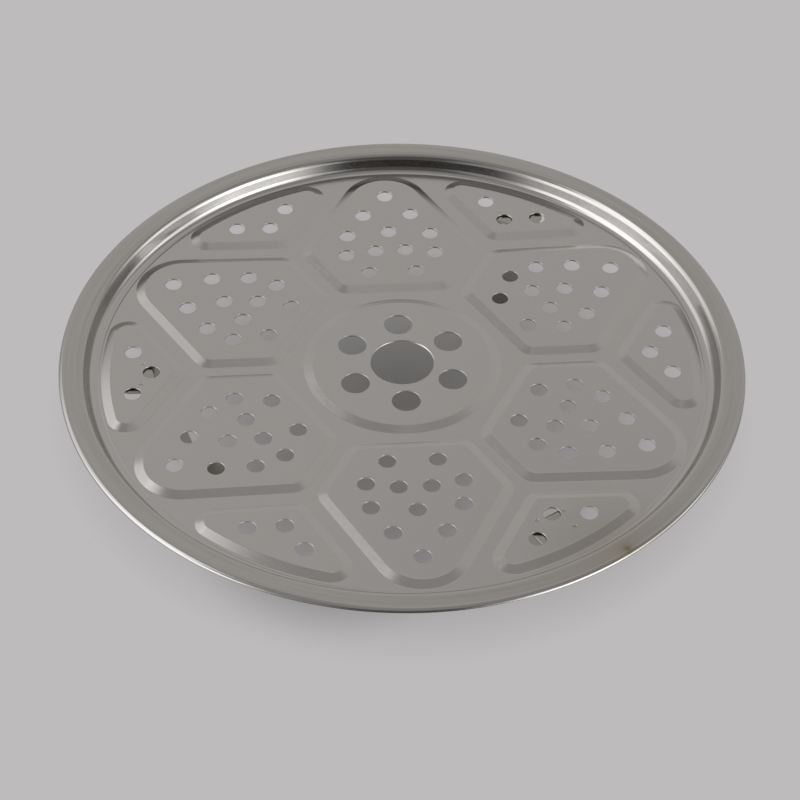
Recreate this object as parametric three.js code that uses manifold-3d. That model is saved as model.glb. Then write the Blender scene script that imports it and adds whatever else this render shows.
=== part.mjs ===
// Round steamer plate: one pressed, perforated steel sheet on three welded strip legs.
// Millimetres, +Z up, origin on the ground below the centre of the plate.
import * as THREE from 'three';
import { mergeVertices, toCreasedNormals } from 'three/addons/utils/BufferGeometryUtils.js';
import Module from 'manifold-3d';

const wasm = await Module();
wasm.setup();

// Overall
const plateDiameter = 240;
const overallHeight = 54;
const sheetThickness = 0.6;

// Rim: a turned-down lip, a flat flange and a steep wall down to the web. Rounds are inside radii
const lipRound = 1.4;
const lipSweep = 60;
const flangeWidth = 6.5;
const flangeRound = 1.8;
const rimDepth = 6;
const wallAngle = 69.5;
const wallFootRound = 2.9;

// Pressed relief: panels stand above the web on a sloping border
const panelRise = 1.15;
const borderRun = 3.2;
const rimGap = 2;
const webWidth = 4.4;
const sectorCount = 6;

// Centre disc, with a lifting hole whose edge is turned down
const discRadius = 34.6;
const liftHoleRadius = 11.1;
const liftLipRound = 0.5;
const liftLipSweep = 60;
const ringHoleRadius = 5;
const ringCircleRadius = 19.7;

// Petal panels. Corner rounds of panels are those of the top edge
const petalWidestAt = 62.4;
const petalApexRound = 13.4;
const petalWideRound = 1;
const petalInnerRound = 2.8;

// Lobe panels, between the petals
const lobeGap = 5.4;
const lobeTipRound = 2.2;
const lobeCornerRound = 3.4;

// Small holes. Rows are shares of a panel's length, places across are shares of its half width
const smallHoleRadius = 2.95;
const petalRows = [
  { along: 0.157, across: [-0.256, 0.256] },
  { along: 0.333, across: [-0.49, -0.165, 0.165, 0.49] },
  { along: 0.49, across: [-0.46, 0, 0.46] },
  { along: 0.648, across: [-0.266, 0.266] },
  { along: 0.806, across: [0] },
];
const lobeInnerHoleAlong = 0.415;
const lobeOuterHoleAlong = 0.65;
const lobeOuterHoleAngle = 6.4;

// Legs: a tab under the panel, a leaning shank and a foot that points inward
const legWidth = 16.5;
const legThickness = 0.8;
const legLean = 15;
const legBendRound = 1;
const legEndRound = 4;
const footLength = 12;
const tabEndGap = 3;
const tabSideGap = 0.2;
const legOffsets = [-3.7, 0.9, -2];

// Spot welds between tab and panel
const seatGap = 0.3;
const weldRadius = 1.4;
const weldEdgeGap = 0.15;
const weldTouchGap = 0.05;

// Facets
const roundFacets = 60;
const smallHoleFacets = 10;
const largeHoleFacets = 16;
const cornerSteps = 3;
const bendSteps = 3;
const lipSteps = 2;
const apexSteps = 6;
const lobeArcSteps = 6;
const creaseAngle = 15;
const cutMargin = 2;

// Levels and radii that follow
const plateRadius = plateDiameter / 2;
const webTop = overallHeight - rimDepth;
const panelTop = webTop + panelRise;
const panelUnderside = panelTop - sheetThickness;
const tabTop = panelUnderside - seatGap;
const formFloor = webTop - 3 * panelRise - cutMargin;
const lip = turnedEdge(plateRadius, overallHeight, lipRound, lipSweep, 1);
const liftLip = turnedEdge(liftHoleRadius, panelTop, liftLipRound, liftLipSweep, -1);
const flangeCorner = lip.centre - flangeWidth;
const wallFootCorner = flangeCorner - rimDepth / Math.tan(THREE.MathUtils.degToRad(wallAngle));
const webEdge = wallFootCorner - wallFootRound * Math.tan(THREE.MathUtils.degToRad(wallAngle / 2));
const panelEdge = webEdge - rimGap;
const petalInnerEdge = discRadius + webWidth;
const sectorAngle = 2 * Math.PI / sectorCount;
const petalLength = panelEdge - petalInnerEdge;
const petalHalfWidth = petalHalfWidthAt(petalWidestAt);
const petalSide = petalSideAngle();
const lobeSide = petalSide + sectorAngle / 2;
const lobeTip = lobeTipRadius();
const lobeLength = panelEdge - lobeTip;
const farthestOffset = Math.max(...legOffsets.map(Math.abs));
const tabEnd = panelEdge - borderRun - tabEndGap;
const tabBend = tabBendRadius();

const steel = { color: 0xb7b4ae, metalness: 1 };
const plateFinish = { ...steel, roughness: 0.34 };
const legFinish = { ...steel, roughness: 0.3 };
const weldFinish = { color: 0x8f8b84, metalness: 1, roughness: 0.5 };

// A sheet edge bent down to end at a radius: way is 1 at the rim and -1 around a hole
function turnedEdge(endRadius, level, round, sweepDegrees, way) {
  const bend = round + sheetThickness;
  const sweep = THREE.MathUtils.degToRad(sweepDegrees);
  const centre = endRadius - way * bend * Math.sin(sweep);
  return { bend, sweep, centre, level, way };
}

// A petal's flank runs beside the line between two petals, half a web width from it
function petalHalfWidthAt(along) {
  const half = sectorAngle / 2;
  return along * Math.tan(half) - webWidth / 2 / Math.cos(half);
}

// A petal's long side runs from its widest corner to the round apex, which touches the panel edge
function petalSideAngle() {
  const round = petalApexRound + borderRun;
  const toCentre = new THREE.Vector2(panelEdge - round - petalWidestAt, petalHalfWidth);
  return toCentre.angle() - Math.asin(round / toCentre.length());
}

// The lobe's sides run beside the petals' long sides, one gap away
function lobeTipRadius() {
  const sideDistance = petalWidestAt * Math.sin(petalSide) + petalHalfWidth * Math.cos(petalSide);
  return (sideDistance + lobeGap) / Math.sin(lobeSide);
}

// A tab begins where the top of its lobe is wide enough for the leg that stands farthest off the axis
function tabBendRadius() {
  const topTip = lobeTip + borderRun / Math.sin(lobeSide);
  return topTip + (legWidth / 2 + farthestOffset) / Math.tan(lobeSide) + tabSideGap;
}

function trianglesOf(geometry) {
  const bare = geometry.clone();
  bare.deleteAttribute('normal');
  bare.deleteAttribute('uv');
  const merged = mergeVertices(bare, 1e-4);
  const index = merged.getIndex().array;
  const kept = [];
  for (let i = 0; i < index.length; i += 3) {
    const [a, b, c] = [index[i], index[i + 1], index[i + 2]];
    if (a !== b && b !== c && c !== a) kept.push(a, b, c);
  }
  return { points: merged.getAttribute('position').array, corners: kept };
}

function solidOf(geometry) {
  const { points, corners } = trianglesOf(geometry);
  const mesh = new wasm.Mesh({
    numProp: 3,
    vertProperties: new Float32Array(points),
    triVerts: new Uint32Array(corners),
  });
  return new wasm.Manifold(mesh);
}

function geometryOf(solid) {
  const mesh = solid.getMesh();
  const geometry = new THREE.BufferGeometry();
  geometry.setAttribute('position', new THREE.BufferAttribute(mesh.vertProperties, 3));
  geometry.setIndex(new THREE.BufferAttribute(mesh.triVerts, 1));
  return toCreasedNormals(geometry, THREE.MathUtils.degToRad(creaseAngle));
}

function namedMesh(name, geometry, finish) {
  const mesh = new THREE.Mesh(geometry, new THREE.MeshStandardMaterial(finish));
  mesh.name = name;
  return mesh;
}

// A closed outline whose corners [x, y, radius, steps] are turned into arcs
function roundedOutline(corners) {
  const outline = [];
  corners.forEach(([x, y, radius, steps], i) => {
    const corner = new THREE.Vector2(x, y);
    if (!radius) {
      outline.push(corner);
      return;
    }
    const before = corners.at(i - 1);
    const after = corners[(i + 1) % corners.length];
    const back = new THREE.Vector2(before[0] - x, before[1] - y).normalize();
    const ahead = new THREE.Vector2(after[0] - x, after[1] - y).normalize();
    const half = Math.acos(THREE.MathUtils.clamp(back.dot(ahead), -1, 1)) / 2;
    const middle = back.clone().add(ahead).normalize();
    const centre = corner.clone().addScaledVector(middle, radius / Math.sin(half));
    const start = corner.clone().addScaledVector(back, radius / Math.tan(half)).sub(centre);
    const turn = Math.sign(ahead.cross(back)) * (Math.PI - 2 * half);
    for (let k = 0; k <= steps; k++) {
      outline.push(start.clone().rotateAround(new THREE.Vector2(), turn * k / steps).add(centre));
    }
  });
  return outline;
}

// Moves every side of a counterclockwise outline inward, and keeps the radii of its corners
function insetCorners(corners, distance) {
  const sides = corners.map(([x, y], i) => {
    const next = corners[(i + 1) % corners.length];
    const along = new THREE.Vector2(next[0] - x, next[1] - y).normalize();
    const point = new THREE.Vector2(x - along.y * distance, y + along.x * distance);
    return { point, along };
  });
  return corners.map(([, , radius, steps], i) => {
    const first = sides.at(i - 1);
    const second = sides[i];
    const gap = second.point.clone().sub(first.point);
    const reach = gap.cross(second.along) / first.along.cross(second.along);
    const meet = first.point.clone().addScaledVector(first.along, reach);
    return [meet.x, meet.y, radius, steps];
  });
}

// A solid of revolution about Z from an outline that is closed here
function turned(outline) {
  const geometry = new THREE.LatheGeometry([...outline, outline[0]], roundFacets);
  geometry.rotateX(Math.PI / 2);
  return solidOf(geometry);
}

// Top edge of a petal panel, its axis along +X
function petalOutline() {
  const sidesMeet = petalWidestAt + petalHalfWidth / Math.tan(petalSide);
  const innerHalf = petalHalfWidthAt(petalInnerEdge);
  const corners = [
    [sidesMeet, 0, petalApexRound, apexSteps],
    [petalWidestAt, petalHalfWidth, petalWideRound, cornerSteps],
    [petalInnerEdge, innerHalf, petalInnerRound, cornerSteps],
    [petalInnerEdge, -innerHalf, petalInnerRound, cornerSteps],
    [petalWidestAt, -petalHalfWidth, petalWideRound, cornerSteps],
  ];
  return roundedOutline(insetCorners(corners, borderRun));
}

function arcPoints(centre, radius, from, to, steps) {
  const points = [];
  for (let k = 0; k <= steps; k++) {
    const angle = THREE.MathUtils.lerp(from, to, k / steps);
    points.push(new THREE.Vector2(Math.cos(angle), Math.sin(angle)).multiplyScalar(radius).add(centre));
  }
  return points;
}

// Top edge of a lobe panel, its axis along +X: a round tip, two straight sides and an arc
function lobeOutline() {
  const sideUnit = new THREE.Vector2(Math.cos(lobeSide), Math.sin(lobeSide));
  const inward = new THREE.Vector2(sideUnit.y, -sideUnit.x);
  const tip = new THREE.Vector2(lobeTip + borderRun / sideUnit.y, 0);
  const edge = panelEdge - borderRun;
  const tipCentre = new THREE.Vector2(tip.x + lobeTipRound / sideUnit.y, 0);

  // the corner's centre lies one corner radius inside both the side and the arc
  const start = tip.clone().addScaledVector(inward, lobeCornerRound);
  const half = start.dot(sideUnit);
  const reach = -half + Math.sqrt(half ** 2 - start.lengthSq() + (edge - lobeCornerRound) ** 2);
  const cornerCentre = start.clone().addScaledVector(sideUnit, reach);
  const arcEnd = cornerCentre.angle();
  const sideNormal = lobeSide + Math.PI / 2;

  const upper = [
    ...arcPoints(new THREE.Vector2(), edge, 0, arcEnd, lobeArcSteps / 2).slice(0, -1),
    ...arcPoints(cornerCentre, lobeCornerRound, arcEnd, sideNormal, cornerSteps),
    ...arcPoints(tipCentre, lobeTipRound, sideNormal, Math.PI, cornerSteps),
  ];
  const lower = upper.slice(1, -1).reverse().map(({ x, y }) => new THREE.Vector2(x, -y));
  return [...upper, ...lower];
}

// A panel with its sloping border, which runs on below the web so that the two cross
function panelForm(outline, angle, depth) {
  const below = panelRise;
  const height = panelRise + below;
  const geometry = new THREE.ExtrudeGeometry(new THREE.Shape(outline), {
    depth: cutMargin / 2,
    bevelThickness: height,
    bevelSize: borderRun * height / panelRise,
    bevelSegments: 1,
  });
  geometry.translate(0, 0, panelTop - depth - height - cutMargin / 2);
  geometry.rotateZ(angle);
  return solidOf(geometry);
}

// One face of a turned-down edge as [radius, z], from the flat to the end of the sheet and beyond.
// The top face runs on downward and the underside crosses the end, so their difference ends square.
function edgeFace({ centre, bend, sweep, level, way }, depth) {
  const points = [];
  const radius = bend - depth;
  for (let k = 0; k <= lipSteps; k++) {
    const angle = sweep * k / lipSteps;
    points.push([centre + way * radius * Math.sin(angle), level - bend + radius * Math.cos(angle)]);
  }
  const along = depth ? 0 : cutMargin / 2;
  const across = depth ? bend + 2 * cutMargin : bend;
  points.push([
    centre + way * (across * Math.sin(sweep) + along * Math.cos(sweep)),
    level - bend + across * Math.cos(sweep) - along * Math.sin(sweep),
  ]);
  return points;
}

// Everything below one face of the sheet: its top at depth 0, its underside at one thickness
function sheetForm(depth, floor) {
  const shift = depth * Math.tan(THREE.MathUtils.degToRad(wallAngle / 2));
  const outerFace = edgeFace(lip, depth).reverse();
  const innerFace = edgeFace(liftLip, depth);
  const outline = roundedOutline([
    [0, floor],
    [outerFace[0][0], floor],
    ...outerFace,
    [flangeCorner + shift, overallHeight - depth, flangeRound + sheetThickness - depth, bendSteps],
    [wallFootCorner + shift, webTop - depth, wallFootRound + depth, bendSteps],
    [discRadius, webTop - depth],
    [discRadius - borderRun, panelTop - depth],
    ...innerFace,
    [0, innerFace.at(-1)[1]],
  ]);
  let form = turned(outline);
  for (let k = 0; k < sectorCount; k++) {
    form = form.add(panelForm(petalOutline(), k * sectorAngle, depth));
    form = form.add(panelForm(lobeOutline(), (k + 0.5) * sectorAngle, depth));
  }
  return form;
}

function hole(radius, facets, x, y) {
  const geometry = new THREE.CylinderGeometry(radius, radius, 2 * (rimDepth + cutMargin), facets);
  geometry.rotateX(Math.PI / 2);
  geometry.translate(x, y, webTop);
  return geometry;
}

function petalHoles() {
  const places = [];
  for (const { along, across } of petalRows) {
    const radius = petalInnerEdge + along * petalLength;
    for (const share of across) {
      const angle = Math.asin(share * petalHalfWidth / radius);
      places.push([radius, angle]);
    }
  }
  return places;
}

function lobeHoles() {
  const outer = THREE.MathUtils.degToRad(lobeOuterHoleAngle);
  const outerRadius = lobeTip + lobeOuterHoleAlong * lobeLength;
  return [
    [lobeTip + lobeInnerHoleAlong * lobeLength, 0],
    [outerRadius, outer],
    [outerRadius, -outer],
  ];
}

function plateHoles() {
  const holes = [];
  for (let k = 0; k < sectorCount; k++) {
    const petalAxis = k * sectorAngle;
    const lobeAxis = (k + 0.5) * sectorAngle;
    const small = [
      ...petalHoles().map(([radius, angle]) => [radius, angle + petalAxis]),
      ...lobeHoles().map(([radius, angle]) => [radius, angle + lobeAxis]),
    ];
    for (const [radius, angle] of small) {
      holes.push(hole(smallHoleRadius, smallHoleFacets, radius * Math.cos(angle), radius * Math.sin(angle)));
    }
    const ringX = ringCircleRadius * Math.cos(petalAxis);
    const ringY = ringCircleRadius * Math.sin(petalAxis);
    holes.push(hole(ringHoleRadius, largeHoleFacets, ringX, ringY));
  }
  return holes;
}

function plate() {
  const belowTop = sheetForm(0, formFloor);
  const belowUnderside = sheetForm(sheetThickness, formFloor - cutMargin);
  let sheet = belowTop.subtract(belowUnderside);
  for (const cut of plateHoles()) sheet = sheet.subtract(solidOf(cut));
  return namedMesh('plate', geometryOf(sheet), plateFinish);
}

// Side view of a leg as [radius, z]: tab on the right, foot on the left
function legProfile() {
  const lean = THREE.MathUtils.degToRad(legLean);
  const turn = Math.PI / 2 - lean;
  const shift = legThickness * Math.tan(turn / 2);
  const footBend = tabBend - (tabTop - legThickness) * Math.tan(lean);
  const footEnd = footBend - footLength;
  const outline = roundedOutline([
    [tabEnd, tabTop - legThickness],
    [tabEnd, tabTop],
    [tabBend, tabTop, legBendRound + legThickness, bendSteps],
    [footBend, legThickness, legBendRound, bendSteps],
    [footEnd, legThickness],
    [footEnd, 0],
    [footBend + shift, 0, legBendRound + legThickness, bendSteps],
    [tabBend + shift, tabTop - legThickness, legBendRound, bendSteps],
  ]);
  return { outline, footEnd };
}

function legGeometry() {
  const { outline, footEnd } = legProfile();
  const strip = new THREE.ExtrudeGeometry(new THREE.Shape(outline), { depth: legWidth, bevelEnabled: false });
  strip.rotateX(Math.PI / 2);
  strip.translate(0, legWidth / 2, 0);
  const half = legWidth / 2;
  const plan = roundedOutline([
    [tabEnd, -half, legEndRound, cornerSteps],
    [tabEnd, half, legEndRound, cornerSteps],
    [footEnd, half, legEndRound, cornerSteps],
    [footEnd, -half, legEndRound, cornerSteps],
  ]);
  const trim = new THREE.ExtrudeGeometry(new THREE.Shape(plan), {
    depth: overallHeight + 2 * cutMargin,
    bevelEnabled: false,
  });
  trim.translate(0, 0, -cutMargin);
  return geometryOf(solidOf(strip).intersect(solidOf(trim)));
}

// A leg and its two welds, on the axis of the lobe that it hangs from
function legGroup(number, offset) {
  const group = new THREE.Group();
  const leg = namedMesh(`leg_${number}`, legGeometry(), legFinish);
  leg.position.y = offset;
  group.add(leg);

  const weldAt = (tabBend + tabEnd) / 2;
  const weldSide = legWidth / 2 - farthestOffset - weldRadius - weldEdgeGap;
  const weldHeight = seatGap - 2 * weldTouchGap;
  for (const [letter, side] of [['a', 1], ['b', -1]]) {
    const nugget = new THREE.CylinderGeometry(weldRadius, weldRadius, weldHeight, largeHoleFacets);
    nugget.rotateX(Math.PI / 2);
    const weld = namedMesh(`weld_${number}${letter}`, nugget, weldFinish);
    weld.position.set(weldAt, side * weldSide, tabTop + seatGap / 2);
    group.add(weld);
  }
  return group;
}

const steamerPlate = new THREE.Group();
steamerPlate.add(plate());
legOffsets.forEach((offset, i) => {
  const group = legGroup(i + 1, offset);
  const lobeNumber = 1 + Math.round(i * sectorCount / legOffsets.length);
  group.rotation.z = (lobeNumber + 0.5) * sectorAngle;
  steamerPlate.add(group);
});

export default steamerPlate;
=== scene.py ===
from math import asin, atan2, cos, hypot, pi, radians, sin, sqrt, tan

import bpy
from mathutils import Matrix, Vector
from mathutils.geometry import delaunay_2d_cdt


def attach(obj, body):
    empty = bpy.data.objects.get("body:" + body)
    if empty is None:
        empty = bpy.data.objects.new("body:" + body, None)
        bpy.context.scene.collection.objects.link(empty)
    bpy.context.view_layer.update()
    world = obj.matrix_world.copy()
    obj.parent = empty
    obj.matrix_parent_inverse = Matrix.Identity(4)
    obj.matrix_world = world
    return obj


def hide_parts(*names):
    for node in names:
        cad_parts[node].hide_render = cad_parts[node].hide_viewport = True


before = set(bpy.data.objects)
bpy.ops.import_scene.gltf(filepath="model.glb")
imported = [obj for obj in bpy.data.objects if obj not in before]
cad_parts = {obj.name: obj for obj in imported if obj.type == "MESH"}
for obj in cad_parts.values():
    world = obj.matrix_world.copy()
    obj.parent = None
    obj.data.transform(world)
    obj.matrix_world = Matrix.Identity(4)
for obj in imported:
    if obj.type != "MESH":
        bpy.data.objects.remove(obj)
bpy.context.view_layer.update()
scene = bpy.context.scene
print("frame is in")

mm = 0.001
photoTurn = radians(25.22)  # the camera stands this far round the plate


# a mesh in the making, in millimetres
class Skin:
    def __init__(self):
        self.points, self.normals, self.faces = [], [], []

    def row(self, places, normals):
        first = len(self.points)
        self.points += places
        self.normals += normals
        return list(range(first, len(self.points)))

    def strip(self, outer, inner):
        for i in range(len(outer)):
            j = (i + 1) % len(outer)
            self.faces.append((outer[i], outer[j], inner[j], inner[i]))

    def join(self, loops):
        for outer, inner in zip(loops, loops[1:]):
            self.strip(outer, inner)

    # flat fill of the first loop, less the loops inside it
    def flat(self, loops):
        places, edges, owners = [], [], []
        for number, loop in enumerate(loops):
            first = len(places)
            for i, k in enumerate(loop):
                places.append(Vector(self.points[k][:2]))
                edges.append((first + i, first + (i + 1) % len(loop)))
                owners.append((number, k))
        _, _, faces, origins, _, _ = delaunay_2d_cdt(places, edges, [], 1, 1e-5)
        for face in faces:
            corners = [owners[origins[k][0]] for k in face]
            around = {number for number, k in corners}
            if len(around) > 1 or 0 in around:  # a face with all its corners on one inner loop is in the hole
                self.faces.append(tuple(k for number, k in corners))

    # a second skin one thickness below, facing the other way
    def underside(self, thickness):
        count = len(self.points)
        for (x, y, z), (a, b, c) in zip(self.points[:count], self.normals[:count]):
            self.points.append((x - a * thickness, y - b * thickness, z - c * thickness))
            self.normals.append((-a, -b, -c))
        self.faces += [tuple(k + count for k in reversed(face)) for face in self.faces]
        return count

    # turns a face round where its order and its normals disagree
    def outward(self, face):
        a, b, c = (Vector(self.points[k]) for k in (face[0], face[1], face[-1]))
        lean = sum((Vector(self.normals[k]) for k in face), Vector())
        return face if (b - a).cross(c - a).dot(lean) >= 0 else tuple(reversed(face))

    def build(self, name):
        mesh = bpy.data.meshes.new(name)
        self.faces = [self.outward(face) for face in self.faces]
        mesh.from_pydata([(x * mm, y * mm, z * mm) for x, y, z in self.points], [], self.faces)
        mesh.polygons.foreach_set("use_smooth", [True] * len(mesh.polygons))
        mesh.normals_split_custom_set_from_vertices(self.normals)
        made = bpy.data.objects.new(name, mesh)
        scene.collection.objects.link(made)
        return made


# shares from 0 to 1
def evenSteps(count):
    return [k / count for k in range(count + 1)]


def spun(x, y, z, turn):
    return (x * cos(turn) - y * sin(turn), x * sin(turn) + y * cos(turn), z)


# a full circle about a point; tilt leans the normal away from the centre
def circleRow(skin, radius, height, tilt, count, centre=(0, 0)):
    places, normals = [], []
    for k in range(count):
        a = 2 * pi * k / count
        places.append((centre[0] + radius * cos(a), centre[1] + radius * sin(a), height))
        normals.append((cos(a) * sin(tilt), sin(a) * sin(tilt), cos(tilt)))
    return skin.row(places, normals)


# corners as (x, y, radius, start, end, steps), turned into points that can move in or out
def outlinePlan(corners):
    plan = []
    for x, y, radius, start, end, steps in corners:
        for k in range(steps + 1):
            plan.append((x, y, radius, start + (end - start) * k / steps))

    def place(p):
        return (p[0] + p[2] * cos(p[3]), p[1] + p[2] * sin(p[3]))

    kept = []
    for i, p in enumerate(plan):
        here, before = place(p), place(plan[i - 1])
        if hypot(here[0] - before[0], here[1] - before[1]) > 1e-6:
            kept.append(p)
    return kept


def outlineRow(skin, plan, inward, height, tilt, turn):
    places, normals = [], []
    for x, y, radius, a in plan:
        reach = radius - inward
        places.append(spun(x + reach * cos(a), y + reach * sin(a), height, turn))
        normals.append(spun(cos(a) * sin(tilt), sin(a) * sin(tilt), cos(tilt), turn))
    return skin.row(places, normals)


# centre of a round corner, between two sides that face these angles and meet at x, y
def cornerCentre(x, y, radius, first, second):
    across = (cos(first) + cos(second), sin(first) + sin(second))
    reach = radius / (1 + cos(second - first))
    return x - reach * across[0], y - reach * across[1]


# the pressed plate, in millimetres
plate = {
    "radius": 120, "top": 54, "thickness": 0.6,
    "lipWidth": 1.256, "lipBend": 1.3, "lipSweep": radians(70), "lipStart": 3.4, "lipEase": radians(28),
    "flangeWidth": 6.976, "flangeBend": 3.0,
    "rimDepth": 6.03, "wallAngle": radians(69.5), "wallFootBend": 3.0,
    "channelAt": 106.32, "channelRun": 0.6, "channelDepth": 0.12,
    "panelRise": 1.25, "panelEdge": 105.51, "webWidth": 4.4,
    "borderRun": 3.2, "spread": 0.35, "softness": 0.3,
    "discRadius": 34.6, "liftHole": 11.1, "liftBend": 0.6, "liftSweep": radians(60),
    "ringHole": 5, "ringCircle": 19.7, "smallHole": 2.95, "holeEdge": 0.18,
    "petalWidest": 62.4, "petalApex": 13.4, "petalWide": 4, "petalInner": 2.8,
    "lobeGap": 5.4, "lobeTip": 2.2, "lobeCorner": 3.4,
    "lobeInnerHole": 0.415, "lobeOuterHoles": 0.65, "lobeHoleAngle": radians(6.4),
    "smallSides": 28, "ringSides": 40, "liftSides": 120, "discSides": 180, "rimSides": 360,
    "borderSteps": 5, "channelSteps": 6, "wallSteps": 14, "easeSteps": 6, "lipSteps": 8, "liftSteps": 8,
    # rows of holes: share of the petal's length, shares of its half width
    "petalRows": (
        (0.157, (-0.256, 0.256)), (0.333, (-0.49, -0.165, 0.165, 0.49)),
        (0.49, (-0.46, 0, 0.46)), (0.648, (-0.266, 0.266)), (0.806, (0,)),
    ),
}
webTop = plate["top"] - plate["rimDepth"]
panelTop = webTop + plate["panelRise"]
run = plate["borderRun"]
flangeCorner = plate["radius"] - plate["lipWidth"] - plate["flangeWidth"]
wallFoot = flangeCorner - plate["rimDepth"] / tan(plate["wallAngle"])
panelEdge = plate["panelEdge"]

# small pits that the welding left, as (along, across) on the lobes that carry a leg
pit = {
    "radius": 0.8, "sides": 16,
    "rings": ((0.66, 0.05, 0.7), (0.54, 0.35, 1.3), (0.35, 0.5, 0.8)),  # radius, drop and lean
    "places": {
        90: ((92.0, 3.5),),
        210: ((91.0, -4.4), (91.6, 5.8)),
        330: ((88.9, 4.4), (96.6, 3.1), (87.6, -5.8)),
    },
}


# distance inward, height and tilt of the rows across a panel's border
def borderRows():
    spread, soft = plate["spread"], plate["softness"]
    slope = atan2(plate["panelRise"], run + spread)
    bend = soft / tan(slope / 2)
    rows = []
    for u in evenSteps(plate["borderSteps"]):
        a = slope * u
        rows.append((bend * sin(a) - soft - spread, webTop + bend * (1 - cos(a)), a))
    for u in evenSteps(plate["borderSteps"]):
        a = slope * (1 - u)
        rows.append((run + soft - bend * sin(a), panelTop - bend * (1 - cos(a)), a))
    return rows


innerEdge = plate["discRadius"] + plate["webWidth"]
petalLength = panelEdge - innerEdge


# half the room for a petal between the webs at its flanks
def flankAt(along):
    return along * tan(pi / 6) - plate["webWidth"] / 2 / cos(pi / 6)


halfWidth = flankAt(plate["petalWidest"])
apexRound = plate["petalApex"] + run
apexAt = panelEdge - apexRound
toApex = (apexAt - plate["petalWidest"], halfWidth)
petalSide = atan2(toApex[1], toApex[0]) - asin(apexRound / hypot(*toApex))


def petalPlan():
    side, flank = pi / 2 - petalSide, 2 * pi / 3
    wide, inner = plate["petalWide"] + run, plate["petalInner"] + run
    wx, wy = cornerCentre(plate["petalWidest"], halfWidth, wide, side, flank)
    ix, iy = cornerCentre(innerEdge, flankAt(innerEdge), inner, flank, pi)
    return outlinePlan([
        (apexAt, 0, apexRound, -side, side, 40),
        (wx, wy, wide, side, flank, 12),
        (ix, iy, inner, flank, pi, 12),
        (ix, -iy, inner, pi, 2 * pi - flank, 12),
        (wx, -wy, wide, 2 * pi - flank, 2 * pi - side, 12),
    ])


lobeSide = petalSide + pi / 6
sideReach = plate["petalWidest"] * sin(petalSide) + halfWidth * cos(petalSide)
lobeStart = (sideReach + plate["lobeGap"]) / sin(lobeSide)
lobeLength = panelEdge - lobeStart


def lobePlan():
    ux, uy = cos(lobeSide), sin(lobeSide)
    corner, tip = plate["lobeCorner"], plate["lobeTip"]
    sx, sy = lobeStart + run / uy + uy * corner, -ux * corner
    half = sx * ux + sy * uy
    reach = -half + sqrt(half ** 2 - sx ** 2 - sy ** 2 + (panelEdge - run - corner) ** 2)
    cx, cy = sx + ux * reach, sy + uy * reach
    arcEnd, side = atan2(cy, cx), lobeSide + pi / 2
    return outlinePlan([
        (0, 0, panelEdge, -arcEnd, arcEnd, 36),
        (cx, cy, corner + run, arcEnd, side, 14),
        (lobeStart + (run + tip) / uy, 0, tip + run, side, 2 * pi - side, 18),
        (cx, -cy, corner + run, 2 * pi - side, 2 * pi - arcEnd, 14),
    ])


def petalHoles():
    found = []
    for along, across in plate["petalRows"]:
        radius = innerEdge + along * petalLength
        found += [(radius, asin(share * halfWidth / radius)) for share in across]
    return found


def lobeHoles():
    inner = lobeStart + plate["lobeInnerHole"] * lobeLength
    outer = lobeStart + plate["lobeOuterHoles"] * lobeLength
    return [(inner, 0), (outer, plate["lobeHoleAngle"]), (outer, -plate["lobeHoleAngle"])]


# radius, height and tilt of the rim, from the web out to the end of the lip
def rimRows():
    rows = []
    depth, span = plate["channelDepth"], plate["channelRun"]
    floor = webTop - depth
    for u in evenSteps(plate["channelSteps"]):
        fall = depth * pi * sin(pi * u) / (2 * span)
        rows.append((plate["channelAt"] + span * u, webTop - depth * (1 - cos(pi * u)) / 2, atan2(fall, 1)))
    wall, foot, bend = plate["wallAngle"], plate["wallFootBend"], plate["flangeBend"]
    footAt = wallFoot - depth / tan(wall) - foot * tan(wall / 2)
    for u in evenSteps(plate["wallSteps"]):
        a = wall * u
        rows.append((footAt + foot * sin(a), floor + foot * (1 - cos(a)), -a))
    bendAt = flangeCorner + bend * tan(wall / 2)
    for u in evenSteps(plate["wallSteps"]):
        a = wall * (1 - u)
        rows.append((bendAt - bend * sin(a), plate["top"] - bend * (1 - cos(a)), -a))
    # the lip turns down gently at first, then sharply
    ease, start, lip = plate["lipEase"], plate["lipStart"], plate["lipBend"]
    turn = plate["radius"] - lip * (sin(plate["lipSweep"]) - sin(ease))
    drop = start * (1 - cos(ease))
    for u in evenSteps(plate["easeSteps"]):
        a = ease * u
        rows.append((turn + start * (sin(a) - sin(ease)), plate["top"] - start * (1 - cos(a)), a))
    for u in evenSteps(plate["lipSteps"])[1:]:
        a = ease + (plate["lipSweep"] - ease) * u
        rows.append((turn + lip * (sin(a) - sin(ease)), plate["top"] - drop - lip * (cos(ease) - cos(a)), a))
    return rows


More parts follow.
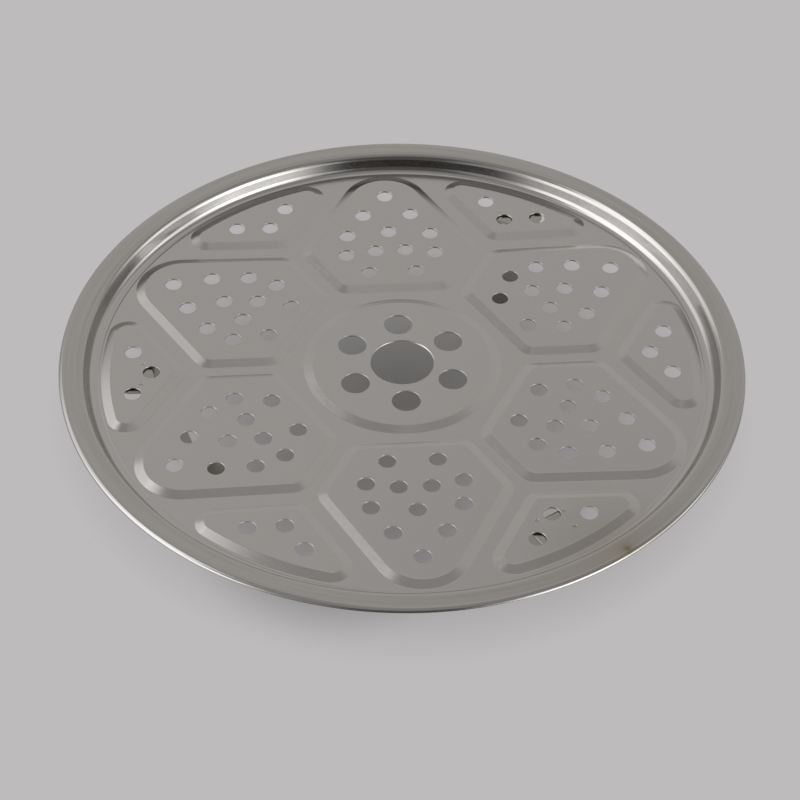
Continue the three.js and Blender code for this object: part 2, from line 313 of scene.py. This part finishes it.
def buildPlate():
    skin = Skin()
    edge = plate["holeEdge"]
    holes, pits = [], []

    def openHole(radius, x, y, count):
        loop = circleRow(skin, radius + edge, panelTop, 0, count, (x, y))
        holes.append((loop, radius, x, y, count))
        return loop

    rows = borderRows()
    webLoops = []
    for k in range(12):
        turn = k * pi / 6
        petal = k % 2 == 0
        plan = petalPlan() if petal else lobePlan()
        border = [outlineRow(skin, plan, inward, height, tilt, turn) for inward, height, tilt in rows]
        skin.join(border)
        webLoops.append(border[0])
        loops = [border[-1]]
        for radius, angle in petalHoles() if petal else lobeHoles():
            place = spun(radius, 0, 0, angle + turn)
            loops.append(openHole(plate["smallHole"], place[0], place[1], plate["smallSides"]))
        for along, across in pit["places"].get(k * 30, ()):
            place = spun(along, across, 0, turn)[:2]
            pits.append((circleRow(skin, pit["radius"], panelTop, 0, pit["sides"], place), place))
            loops.append(pits[-1][0])
        skin.flat(loops)
    print("panels pressed")

    # centre disc
    border = [circleRow(skin, plate["discRadius"] - inward, height, tilt, plate["discSides"])
              for inward, height, tilt in rows]
    skin.join(border)
    webLoops.append(border[0])
    bend = plate["liftBend"]
    liftAt = plate["liftHole"] + bend * sin(plate["liftSweep"])
    loops = [border[-1], circleRow(skin, liftAt, panelTop, 0, plate["liftSides"])]
    for k in range(6):
        place = spun(plate["ringCircle"], 0, 0, k * pi / 3)
        loops.append(openHole(plate["ringHole"], place[0], place[1], plate["ringSides"]))
    skin.flat(loops)
    lift = [loops[1]]
    for u in evenSteps(plate["liftSteps"])[1:]:
        a = plate["liftSweep"] * u
        radius, height = liftAt - bend * sin(a), panelTop - bend * (1 - cos(a))
        lift.append(circleRow(skin, radius, height, -a, plate["liftSides"]))
    skin.join(lift)

    # rim
    rim = [circleRow(skin, radius, height, tilt, plate["rimSides"]) for radius, height, tilt in rimRows()]
    skin.join(rim[::-1])
    skin.flat([rim[0]] + webLoops)

    # the underside, then the cut edges between the two skins
    count = skin.underside(plate["thickness"])

    def cutEdge(loop, way, sweep):
        ring = []
        for side in (loop, [i + count for i in loop]):
            normals = []
            for i in side:
                x, y, _ = skin.points[i]
                r = hypot(x, y)
                normals.append((way * cos(sweep) * x / r, way * cos(sweep) * y / r, -sin(sweep)))
            ring.append(skin.row([skin.points[i] for i in side], normals))
        return ring

    for loop, place in pits:
        dent = [circleRow(skin, radius, panelTop - drop, -lean, pit["sides"], place)
                for radius, drop, lean in pit["rings"]]
        skin.join([loop] + dent)
        skin.faces += [tuple(dent[-1]), tuple(i + count for i in loop)]
    top, below = cutEdge(rim[-1], 1, plate["lipSweep"])
    skin.strip(below, top)
    top, below = cutEdge(lift[-1], -1, plate["liftSweep"])
    skin.strip(top, below)
    low = panelTop - plate["thickness"]
    rolled = [(panelTop - edge * (1 - cos(a)), a) for a in (pi / 6, pi / 3, pi / 2)]
    rolled += [(low + edge * (1 + cos(a)), a) for a in (pi / 2, pi * 2 / 3, pi * 5 / 6)]
    for loop, radius, x, y, sides in holes:
        cut = [circleRow(skin, radius + edge * (1 - sin(a)), height, -a, sides, (x, y))
               for height, a in rolled]
        skin.join([loop] + cut + [[i + count for i in loop]])
    return skin.build("pressed_plate")


platePiece = buildPlate()
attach(platePiece, "root")
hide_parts("plate")
print("plate built", len(platePiece.data.polygons))


# the bent strip legs, in millimetres; offsets are by the angle of the lobe that carries the leg
leg = {
    "width": 16.5, "thickness": 0.8, "lean": radians(15), "bend": 1.4, "endRound": 4,
    "footLength": 12, "tabEndGap": 3, "tabSideGap": 0.2, "seat": 0.3, "edge": 0.2,
    "endSteps": (0, 0.12, 0.4, 0.8, 1.4, 2.2, 3.1, 4),  # rows over the rounded ends
    "bendSteps": 10,
    "offsets": {90: -3.7, 210: 0.9, 330: -2.0},
}
tabTop = panelTop - plate["thickness"] - leg["seat"]
tabEnd = panelEdge - run - leg["tabEndGap"]
farOffset = max(abs(k) for k in leg["offsets"].values())
topTip = lobeStart + run / sin(lobeSide)
tabBend = topTip + (leg["width"] / 2 + farOffset) / tan(lobeSide) + leg["tabSideGap"]
footBend = tabBend - (tabTop - leg["thickness"]) * tan(leg["lean"])
footEnd = footBend - leg["footLength"]


# middle line of a strip as (radius, height, heading), from the tab's end to the foot's end
def legPath():
    shift = leg["thickness"] * tan((pi / 2 - leg["lean"]) / 2) / 2
    half = leg["thickness"] / 2
    turn = pi / 2 - leg["lean"]
    cut = leg["bend"] * tan(turn / 2)
    upper = (tabBend + shift, tabTop - half)
    lower = (footBend + shift, half)
    path = [(tabEnd - s, tabTop - half, pi) for s in leg["endSteps"]]
    for u in evenSteps(leg["bendSteps"]):  # the bend below the tab
        a = turn * u
        path.append((upper[0] + cut - leg["bend"] * sin(a), upper[1] - leg["bend"] * (1 - cos(a)), pi + a))
    for u in evenSteps(leg["bendSteps"]):  # the bend above the foot
        a = turn * (1 - u)
        path.append((lower[0] - cut + leg["bend"] * sin(a), lower[1] + leg["bend"] * (1 - cos(a)), pi + a))
    path += [(footEnd + s, half, pi) for s in reversed(leg["endSteps"])]
    return path


def buildLeg(name, turn, offset):
    skin = Skin()
    path = legPath()
    half, edge, rounded = leg["width"] / 2, leg["edge"], leg["endRound"]
    thick = leg["thickness"] / 2
    first, last = path[0], path[-1]
    loops = []
    for radius, height, heading in path:
        gone = min(abs(first[0] - radius) if height > thick * 3 else rounded, rounded)
        left = min(abs(radius - last[0]) if height < thick * 3 else rounded, rounded)
        near = min(gone, left)
        lean = (rounded - near) / rounded
        side = half - rounded + sqrt(max(0, rounded ** 2 - (rounded - near) ** 2))
        ahead = (cos(heading), sin(heading))
        face = (sin(heading), -cos(heading))
        end = -1 if gone < left else 1
        places, normals = [], []
        for quarter, sx, sn in ((0, 1, 1), (1, -1, 1), (2, -1, -1), (3, 1, -1)):
            for k in range(4):
                a = quarter * pi / 2 + k * pi / 6
                y = sx * (side - edge) + edge * cos(a)
                n = sn * (thick - edge) + edge * sin(a)
                places.append(spun(radius + face[0] * n, y + offset, height + face[1] * n, turn))
                along = end * lean * abs(cos(a))
                ny = cos(a) * sqrt(1 - lean * lean)
                nx, nz = (face[i] * sin(a) + ahead[i] * along for i in (0, 1))
                normals.append(spun(nx, ny, nz, turn))
        loops.append(skin.row(places, normals))
    skin.join(loops)
    for loop, way in ((loops[0], 1), (loops[-1], -1)):
        cap = skin.row([skin.points[i] for i in loop], [spun(way, 0, 0, turn)] * len(loop))
        skin.faces.append(tuple(reversed(cap)) if way > 0 else tuple(cap))
    return skin.build(name)


legPieces = []
for number, (turn, offset) in enumerate(leg["offsets"].items(), 1):
    piece = buildLeg(f"strip_leg_{number}", radians(turn), offset)
    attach(piece, "root")
    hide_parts(f"leg_{number}")
    legPieces.append(piece)
print("legs bent")


# the spot welds between tab and panel
weld = {"radius": 1.4, "edgeGap": 0.15, "bulge": 0.25, "sides": 20, "steps": 6}


def buildWelds():
    skin = Skin()
    middle = tabTop + leg["seat"] / 2
    half = leg["seat"] / 2
    side = leg["width"] / 2 - farOffset - weld["radius"] - weld["edgeGap"]
    for turn in leg["offsets"]:
        for way in (1, -1):
            place = spun((tabBend + tabEnd) / 2, way * side, 0, radians(turn))[:2]
            rings = []
            for u in evenSteps(weld["steps"]):
                a = pi * u - pi / 2
                radius, height = weld["radius"] - weld["bulge"] * (1 - cos(a)), middle + half * sin(a)
                rings.append(circleRow(skin, radius, height, pi / 2 - a, weld["sides"], place))
            skin.join(rings)
            skin.faces += [tuple(reversed(rings[0])), tuple(rings[-1])]
    return skin.build("spot_welds")


weldPiece = buildWelds()
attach(weldPiece, "root")
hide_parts(*[f"weld_{number}{letter}" for number in (1, 2, 3) for letter in "ab"])
print("welds set")


# an empty node tree, for a material or the world
def makeTree(owner):
    owner.use_nodes = True
    owner.node_tree.nodes.clear()
    return owner.node_tree


# a new node with its settings
def add(tree, kind, **values):
    made = tree.nodes.new(kind)
    for key, value in values.items():
        setattr(made, key, value)
    return made


steel = {
    "grainSize": 900, "waveSize": 28, "shineLow": 0.15, "shineHigh": 0.21,
    "hairPull": (60, 2600, 60), "hairTurn": 0.5,  # the hairlines run with the rolling
}


# slow waves, fine grain and hairline marks of rolled steel sheet
def rolledSteelGroup():
    tree = bpy.data.node_groups.new("rolledSteel", "ShaderNodeTree")
    face = tree.interface
    for name in ("Grain Size", "Wave Size"):
        face.new_socket(name, in_out="INPUT", socket_type="NodeSocketFloat")
    for name in ("Shine", "Height", "Mark"):
        face.new_socket(name, in_out="OUTPUT", socket_type="NodeSocketFloat")
    start, end = add(tree, "NodeGroupInput"), add(tree, "NodeGroupOutput")
    place = add(tree, "ShaderNodeTexCoord")

    grain = add(tree, "ShaderNodeTexNoise")
    grain.inputs["Detail"].default_value = 3
    tree.links.new(place.outputs["Object"], grain.inputs["Vector"])
    tree.links.new(start.outputs["Grain Size"], grain.inputs["Scale"])

    wave = add(tree, "ShaderNodeTexNoise")
    wave.inputs["Detail"].default_value = 1
    tree.links.new(place.outputs["Object"], wave.inputs["Vector"])
    tree.links.new(start.outputs["Wave Size"], wave.inputs["Scale"])

    rolled = add(tree, "ShaderNodeMapping")
    rolled.inputs["Scale"].default_value = steel["hairPull"]
    rolled.inputs["Rotation"].default_value = (0, 0, steel["hairTurn"])
    hair = add(tree, "ShaderNodeTexNoise")
    hair.inputs["Scale"].default_value = 1
    hair.inputs["Detail"].default_value = 2
    tree.links.new(place.outputs["Object"], rolled.inputs["Vector"])
    tree.links.new(rolled.outputs["Vector"], hair.inputs["Vector"])

    shine = add(tree, "ShaderNodeMapRange")
    shine.inputs["From Min"].default_value = 0.3
    shine.inputs["From Max"].default_value = 0.7
    shine.inputs["To Min"].default_value = steel["shineLow"]
    shine.inputs["To Max"].default_value = steel["shineHigh"]
    tree.links.new(grain.outputs["Fac"], shine.inputs["Value"])

    mark = add(tree, "ShaderNodeMapRange")
    mark.inputs["From Min"].default_value = 0.35
    mark.inputs["From Max"].default_value = 0.65
    tree.links.new(hair.outputs["Fac"], mark.inputs["Value"])

    tree.links.new(shine.outputs["Result"], end.inputs["Shine"])
    tree.links.new(wave.outputs["Fac"], end.inputs["Height"])
    tree.links.new(mark.outputs["Result"], end.inputs["Mark"])
    return tree


rolledSteel = rolledSteelGroup()
sheetFinish = {
    "pale": (0.468, 0.453, 0.444), "dark": (0.459, 0.445, 0.436), "waveDepth": 0.00004,
    "flange": (0.41, 0.398, 0.385), "flangeFade": 1,
    "streakPull": 50, "streakScale": 16, "streakLow": 0.45, "streakHigh": 1.25,
    "stainAngle": radians(334), "stainRadius": 117.8, "stainReach": 34, "speckPower": 24,
    "stain": (0.372, 0.35, 0.31), "speck": (0.2, 0.16, 0.09),
}
stripFinish = {"pale": (0.39, 0.37, 0.345), "dark": (0.35, 0.33, 0.305), "waveDepth": 0.00004}
weldFinish = {"pale": (0.40, 0.38, 0.36), "dark": (0.30, 0.28, 0.26), "waveDepth": 0.00008}


# the flange is rubbed duller than the pressed middle
def flangeTone(tree, colour, finish):
    place = add(tree, "ShaderNodeTexCoord")
    level = add(tree, "ShaderNodeVectorMath", operation="MULTIPLY")
    level.inputs[1].default_value = (1, 1, 0)
    away = add(tree, "ShaderNodeVectorMath", operation="LENGTH")
    mask = add(tree, "ShaderNodeMapRange", interpolation_type="SMOOTHSTEP")
    mask.inputs["From Min"].default_value = (wallFoot - finish["flangeFade"]) * mm
    mask.inputs["From Max"].default_value = (wallFoot + finish["flangeFade"]) * mm
    # streaks that run round with the rim
    parts = add(tree, "ShaderNodeSeparateXYZ")
    around = add(tree, "ShaderNodeCombineXYZ")
    longer = add(tree, "ShaderNodeMath", operation="MULTIPLY")
    longer.inputs[1].default_value = finish["streakPull"]
    streak = add(tree, "ShaderNodeTexNoise")
    streak.inputs["Scale"].default_value = finish["streakScale"]
    streak.inputs["Detail"].default_value = 3
    share = add(tree, "ShaderNodeMapRange")
    share.inputs["From Min"].default_value = 0.3
    share.inputs["From Max"].default_value = 0.7
    share.inputs["To Min"].default_value = finish["streakLow"]
    share.inputs["To Max"].default_value = finish["streakHigh"]
    amount = add(tree, "ShaderNodeMath", operation="MULTIPLY")
    tone = add(tree, "ShaderNodeMix", data_type="RGBA", clamp_factor=False)
    tone.inputs["B"].default_value = (*finish["flange"], 1)
    tree.links.new(place.outputs["Object"], level.inputs[0])
    tree.links.new(level.outputs["Vector"], away.inputs[0])
    tree.links.new(level.outputs["Vector"], parts.inputs["Vector"])
    tree.links.new(away.outputs["Value"], mask.inputs["Value"])
    tree.links.new(away.outputs["Value"], longer.inputs[0])
    tree.links.new(longer.outputs["Value"], around.inputs["Z"])
    tree.links.new(parts.outputs["X"], around.inputs["X"])
    tree.links.new(parts.outputs["Y"], around.inputs["Y"])
    tree.links.new(around.outputs["Vector"], streak.inputs["Vector"])
    tree.links.new(streak.outputs["Fac"], share.inputs["Value"])
    tree.links.new(mask.outputs["Result"], amount.inputs[0])
    tree.links.new(share.outputs["Result"], amount.inputs[1])
    tree.links.new(amount.outputs["Value"], tone.inputs["Factor"])
    tree.links.new(colour, tone.inputs["A"])

    # a faint heat stain, with a small speck in its middle
    apart = add(tree, "ShaderNodeVectorMath", operation="DISTANCE")
    stainAt = spun(finish["stainRadius"], 0, plate["top"], finish["stainAngle"])
    apart.inputs[1].default_value = [k * mm for k in stainAt]
    near = add(tree, "ShaderNodeMapRange")
    near.inputs["From Max"].default_value = finish["stainReach"] * mm
    near.inputs["To Min"].default_value = 1
    near.inputs["To Max"].default_value = 0
    small = add(tree, "ShaderNodeMath", operation="POWER")
    small.inputs[1].default_value = finish["speckPower"]
    tint = add(tree, "ShaderNodeMix", data_type="RGBA")
    tint.inputs["B"].default_value = (*finish["stain"], 1)
    speck = add(tree, "ShaderNodeMix", data_type="RGBA")
    speck.inputs["B"].default_value = (*finish["speck"], 1)
    tree.links.new(place.outputs["Object"], apart.inputs[0])
    tree.links.new(apart.outputs["Value"], near.inputs["Value"])
    tree.links.new(near.outputs["Result"], tint.inputs["Factor"])
    tree.links.new(tone.outputs["Result"], tint.inputs["A"])
    tree.links.new(near.outputs["Result"], small.inputs[0])
    tree.links.new(small.outputs["Value"], speck.inputs["Factor"])
    tree.links.new(tint.outputs["Result"], speck.inputs["A"])
    return speck.outputs["Result"]


def steelMaterial(name, finish):
    made = bpy.data.materials.new(name)
    tree = makeTree(made)
    out = add(tree, "ShaderNodeOutputMaterial")
    shader = add(tree, "ShaderNodeBsdfPrincipled")
    shader.inputs["Metallic"].default_value = 1
    rolled = add(tree, "ShaderNodeGroup", node_tree=rolledSteel)
    rolled.inputs["Grain Size"].default_value = steel["grainSize"]
    rolled.inputs["Wave Size"].default_value = steel["waveSize"]
    colour = add(tree, "ShaderNodeMix", data_type="RGBA")
    colour.inputs["A"].default_value = (*finish["dark"], 1)
    colour.inputs["B"].default_value = (*finish["pale"], 1)
    bump = add(tree, "ShaderNodeBump")
    bump.inputs["Strength"].default_value = 1
    bump.inputs["Distance"].default_value = finish["waveDepth"]
    tree.links.new(rolled.outputs["Mark"], colour.inputs["Factor"])
    tone = colour.outputs["Result"]
    if "flange" in finish:
        tone = flangeTone(tree, tone, finish)
    tree.links.new(tone, shader.inputs["Base Color"])
    tree.links.new(rolled.outputs["Shine"], shader.inputs["Roughness"])
    tree.links.new(rolled.outputs["Height"], bump.inputs["Height"])
    tree.links.new(bump.outputs["Normal"], shader.inputs["Normal"])
    tree.links.new(shader.outputs["BSDF"], out.inputs["Surface"])
    return made


plateSteel = steelMaterial("satin_sheet", sheetFinish)
legSteel = steelMaterial("satin_strip", stripFinish)
weldMetal = steelMaterial("dull_weld", weldFinish)
finishes = [(platePiece, plateSteel, "plate_steel"), (weldPiece, weldMetal, "weld_metal")]
finishes += [(piece, legSteel, "leg_steel") for piece in legPieces]
for piece, metal, slot in finishes:
    piece.data.materials.append(metal)
print("finishes on")


# floor and backdrop, in metres; the shadow lies a little behind the plate, with a deeper spot in front
stage = {
    "pale": (0.509, 0.497, 0.503), "shadow": (0.39, 0.381, 0.372),
    "reach": 4, "backdropAt": 3.8, "sides": 48, "height": 4,
    "shadowBack": 0.035, "shadowTo": 0.133, "shadowEase": 1.75,
    "nearSpot": (-0.023, -0.069), "nearFrom": 0.030, "nearTo": 0.057, "nearShare": 0.53,
}


def stageMaterial(name, keepShadow):
    made = bpy.data.materials.new(name)
    tree = makeTree(made)
    out = add(tree, "ShaderNodeOutputMaterial")
    plain = add(tree, "ShaderNodeEmission")
    plain.inputs["Color"].default_value = (*stage["pale"], 1)
    if not keepShadow:
        tree.links.new(plain.outputs["Emission"], out.inputs["Surface"])
        return made
    lit = add(tree, "ShaderNodeBsdfDiffuse")
    lit.inputs["Color"].default_value = (*stage["shadow"], 1)
    place = add(tree, "ShaderNodeTexCoord")
    away = add(tree, "ShaderNodeVectorMath", operation="LENGTH")
    fade = add(tree, "ShaderNodeMapRange")
    fade.inputs["From Max"].default_value = stage["shadowTo"]
    ease = add(tree, "ShaderNodeMath", operation="POWER")
    ease.inputs[1].default_value = stage["shadowEase"]
    spot = add(tree, "ShaderNodeVectorMath", operation="DISTANCE")
    spot.inputs[1].default_value = spun(*stage["nearSpot"], 0, photoTurn)
    spotFade = add(tree, "ShaderNodeMapRange", interpolation_type="SMOOTHSTEP")
    spotFade.inputs["From Min"].default_value = stage["nearFrom"]
    spotFade.inputs["From Max"].default_value = stage["nearTo"]
    spotFade.inputs["To Min"].default_value = stage["nearShare"]
    both = add(tree, "ShaderNodeMath", operation="MULTIPLY")
    mix = add(tree, "ShaderNodeMixShader")
    tree.links.new(place.outputs["Object"], away.inputs[0])
    tree.links.new(away.outputs["Value"], fade.inputs["Value"])
    tree.links.new(fade.outputs["Result"], ease.inputs[0])
    tree.links.new(place.outputs["Object"], spot.inputs[0])
    tree.links.new(spot.outputs["Value"], spotFade.inputs["Value"])
    tree.links.new(ease.outputs["Value"], both.inputs[0])
    tree.links.new(spotFade.outputs["Result"], both.inputs[1])
    tree.links.new(both.outputs["Value"], mix.inputs["Fac"])
    tree.links.new(lit.outputs["BSDF"], mix.inputs[1])
    tree.links.new(plain.outputs["Emission"], mix.inputs[2])
    tree.links.new(mix.outputs["Shader"], out.inputs["Surface"])
    return made


def stageMesh(name, corners, faces, material):
    mesh = bpy.data.meshes.new(name)
    mesh.from_pydata(corners, [], faces)
    mesh.materials.append(material)
    made = bpy.data.objects.new(name, mesh)
    scene.collection.objects.link(made)
    return made


# the floor reaches past the backdrop, which stands round the whole stage
reach, sides = stage["reach"], stage["sides"]
floor = stageMesh("floor", [(-reach, -reach, 0), (reach, -reach, 0), (reach, reach, 0), (-reach, reach, 0)],
                  [(0, 1, 2, 3)], stageMaterial("floor_paper", True))
turns = [2 * pi * step / sides for step in range(sides)]
foot = [spun(stage["backdropAt"], 0, 0, turn) for turn in turns]
head = [spun(stage["backdropAt"], 0, stage["height"], turn) for turn in turns]
backdrop = stageMesh("backdrop", foot + head,
                     [(k, (k + 1) % sides, sides + (k + 1) % sides, sides + k) for k in range(sides)],
                     stageMaterial("backdrop_paper", False))
floor.location = spun(0, stage["shadowBack"], 0, photoTurn)
for flag in ("visible_glossy", "visible_diffuse", "visible_shadow"):
    setattr(backdrop, flag, False)
print("stage set")


# mask of a round soft light in the world: full inside one angle from its middle, gone outside another
def softLightGroup():
    tree = bpy.data.node_groups.new("softLight", "ShaderNodeTree")
    face = tree.interface
    for name in ("Direction", "Middle"):
        face.new_socket(name, in_out="INPUT", socket_type="NodeSocketVector")
    for name in ("Full Cosine", "Gone Cosine"):
        face.new_socket(name, in_out="INPUT", socket_type="NodeSocketFloat")
    face.new_socket("Mask", in_out="OUTPUT", socket_type="NodeSocketFloat")
    start, end = add(tree, "NodeGroupInput"), add(tree, "NodeGroupOutput")
    near = add(tree, "ShaderNodeVectorMath", operation="DOT_PRODUCT")
    ramp = add(tree, "ShaderNodeMapRange", interpolation_type="SMOOTHSTEP")
    tree.links.new(start.outputs["Direction"], near.inputs[0])
    tree.links.new(start.outputs["Middle"], near.inputs[1])
    tree.links.new(near.outputs["Value"], ramp.inputs["Value"])
    tree.links.new(start.outputs["Gone Cosine"], ramp.inputs["From Min"])
    tree.links.new(start.outputs["Full Cosine"], ramp.inputs["From Max"])
    tree.links.new(ramp.outputs["Result"], end.inputs["Mask"])
    return tree


# in degrees: azimuth from the right of the picture, elevation, and where each mask is full and gone
lamps = {
    "left": {"azimuth": 190, "elevation": 0, "full": 61.3, "gone": 69.6, "strength": 0.95},
    "leftHigh": {"azimuth": 168, "elevation": 55, "full": 10, "gone": 15.5, "strength": 0.65},
    "leftCore": {"azimuth": 196, "elevation": 24, "full": 18, "gone": 40, "strength": 1},
    "right": {"azimuth": -42, "elevation": 15, "full": 23.5, "gone": 29, "strength": 2},
    "rightNext": {"azimuth": -14, "elevation": 17, "full": 21.5, "gone": 27, "strength": 1.1},
    "rightEnd": {"azimuth": 10, "elevation": 18, "full": 3, "gone": 20, "strength": 0.6},
    "rightLow": {"azimuth": -40, "elevation": 8, "full": 6, "gone": 18, "strength": 1.5},
}
shades = {
    "nearRight": {"azimuth": -63.4, "elevation": 0, "full": 94.3, "gone": 96.6},
    "nearLeft": {"azimuth": 228, "elevation": 0, "full": 94.6, "gone": 96.9},
    "behindCamera": {"azimuth": -94, "elevation": 25, "full": 32, "gone": 44},
    "leftGap": {"azimuth": 120, "elevation": 8, "full": 12, "gone": 28},
    "leftTop": {"azimuth": 217, "elevation": 61, "full": 14, "gone": 20},
    "overRight": {"azimuth": 82, "elevation": 50, "full": 2, "gone": 8.5},
}
# the plain light of the room; the lamps and the shade behind the camera change between two heights
room = {
    "warm": (1, 0.972, 0.945), "cool": (0.97, 0.985, 1), "level": 0.64, "nearFall": 0.35, "overFall": 0.16,
    "lampFrom": radians(-8), "lampTo": radians(16),
    "behindFrom": radians(5), "behindTo": radians(13), "behindLow": 0.99, "behindHigh": 0.66,
}


def buildWorld():
    world = bpy.data.worlds.new("studio")
    scene.world = world
    tree = makeTree(world)
    out = add(tree, "ShaderNodeOutputWorld")
    place = add(tree, "ShaderNodeTexCoord")
    turned = add(tree, "ShaderNodeVectorRotate", rotation_type="Z_AXIS")
    turned.inputs["Angle"].default_value = -photoTurn
    tree.links.new(place.outputs["Generated"], turned.inputs["Vector"])
    parts = add(tree, "ShaderNodeSeparateXYZ")
    tree.links.new(turned.outputs["Vector"], parts.inputs["Vector"])
    group = softLightGroup()

    def mask(name, plan):
        made = add(tree, "ShaderNodeGroup", node_tree=group, label=name)
        azimuth, elevation = radians(plan["azimuth"]), radians(plan["elevation"])
        made.inputs["Middle"].default_value = (
            cos(azimuth) * cos(elevation), sin(azimuth) * cos(elevation), sin(elevation))
        made.inputs["Full Cosine"].default_value = cos(radians(plan["full"]))
        made.inputs["Gone Cosine"].default_value = cos(radians(plan["gone"]))
        tree.links.new(turned.outputs["Vector"], made.inputs["Direction"])
        return made.outputs["Mask"]

    def maths(operation, first, second, third=None):
        made = add(tree, "ShaderNodeMath", operation=operation)
        for socket, value in zip(made.inputs, (first, second, third)):
            if isinstance(value, (int, float)):
                socket.default_value = value
            elif value:
                tree.links.new(value, socket)
        return made.outputs["Value"]

    # from one value to another between two heights in the room
    def climb(low, high, first, last):
        made = add(tree, "ShaderNodeMapRange", interpolation_type="SMOOTHSTEP")
        made.inputs["From Min"].default_value = sin(low)
        made.inputs["From Max"].default_value = sin(high)
        made.inputs["To Min"].default_value = first
        made.inputs["To Max"].default_value = last
        tree.links.new(parts.outputs["Z"], made.inputs["Value"])
        return made.outputs["Result"]

    # the lamps end at the floor, behind the camera and in two gaps on the left
    shade = {name: mask(name, plan) for name, plan in shades.items()}
    light = 0
    for name, plan in lamps.items():
        light = maths("MULTIPLY_ADD", mask(name, plan), plan["strength"], light)
    light = maths("MULTIPLY", light, climb(room["lampFrom"], room["lampTo"], 0, 1))
    dark = climb(room["behindFrom"], room["behindTo"], -room["behindLow"], -room["behindHigh"])
    behind = maths("MULTIPLY_ADD", shade["behindCamera"], dark, 1)
    light = maths("MULTIPLY", light, behind)
    for name in ("leftGap", "leftTop"):
        light = maths("MULTIPLY", light, maths("SUBTRACT", 1, shade[name]))

    # the room is plain, and darker on the camera's side
    near = maths("MAXIMUM", shade["nearRight"], shade["nearLeft"])
    walls = maths("MULTIPLY_ADD", near, -room["nearFall"] * room["level"], room["level"])
    walls = maths("MULTIPLY", walls, behind)
    walls = maths("MULTIPLY", walls, maths("MULTIPLY_ADD", shade["overRight"], -room["overFall"], 1))

    warm = add(tree, "ShaderNodeBackground")
    warm.inputs["Color"].default_value = (*room["warm"], 1)
    tree.links.new(walls, warm.inputs["Strength"])
    cool = add(tree, "ShaderNodeBackground")
    cool.inputs["Color"].default_value = (*room["cool"], 1)
    tree.links.new(light, cool.inputs["Strength"])
    sky = add(tree, "ShaderNodeAddShader")
    tree.links.new(warm.outputs["Background"], sky.inputs[0])
    tree.links.new(cool.outputs["Background"], sky.inputs[1])
    tree.links.new(sky.outputs["Shader"], out.inputs["Surface"])


buildWorld()
print("light set")


# the camera stands where the photo was taken from
view = {
    "pixels": 800, "focal": 2359.46, "middle": (402.387, 353.243),  # in the picture's pixels
    "distance": 0.8285088, "rimLevel": 0.0534, "clipStart": 0.05,  # in metres
    "elevation": radians(42.7387), "roll": radians(0.9501), "sensor": 36,
}


def buildCamera():
    data = bpy.data.cameras.new("photo_camera")
    data.sensor_width = view["sensor"]
    data.lens = view["focal"] / view["pixels"] * view["sensor"]
    data.clip_start = view["clipStart"]
    camera = bpy.data.objects.new("photo_camera", data)
    scene.collection.objects.link(camera)
    scene.camera = camera
    ce, se = cos(view["elevation"]), sin(view["elevation"])
    ahead = Vector((0, ce, -se))
    axes = Matrix(((1, 0, 0), (0, -se, -ce), ahead))
    half = view["pixels"] / 2
    pan = atan2(view["middle"][0] - half, view["focal"])
    tip = atan2(view["middle"][1] - half, view["focal"])
    roll = view["roll"]
    panned = Matrix(((cos(pan), 0, sin(pan)), (0, 1, 0), (-sin(pan), 0, cos(pan))))
    tipped = Matrix(((1, 0, 0), (0, cos(tip), sin(tip)), (0, -sin(tip), cos(tip))))
    rolled = Matrix(((cos(roll), -sin(roll), 0), (sin(roll), cos(roll), 0), (0, 0, 1)))
    right, down, forward = panned @ tipped @ rolled @ axes
    stand = Matrix((right, -down, -forward)).transposed().to_4x4()
    spot = Vector((0, 0, view["rimLevel"])) - view["distance"] * ahead
    camera.matrix_world = Matrix.Rotation(photoTurn, 4, "Z") @ Matrix.Translation(spot) @ stand


buildCamera()
scene.view_settings.view_transform = "Standard"
print("camera placed")
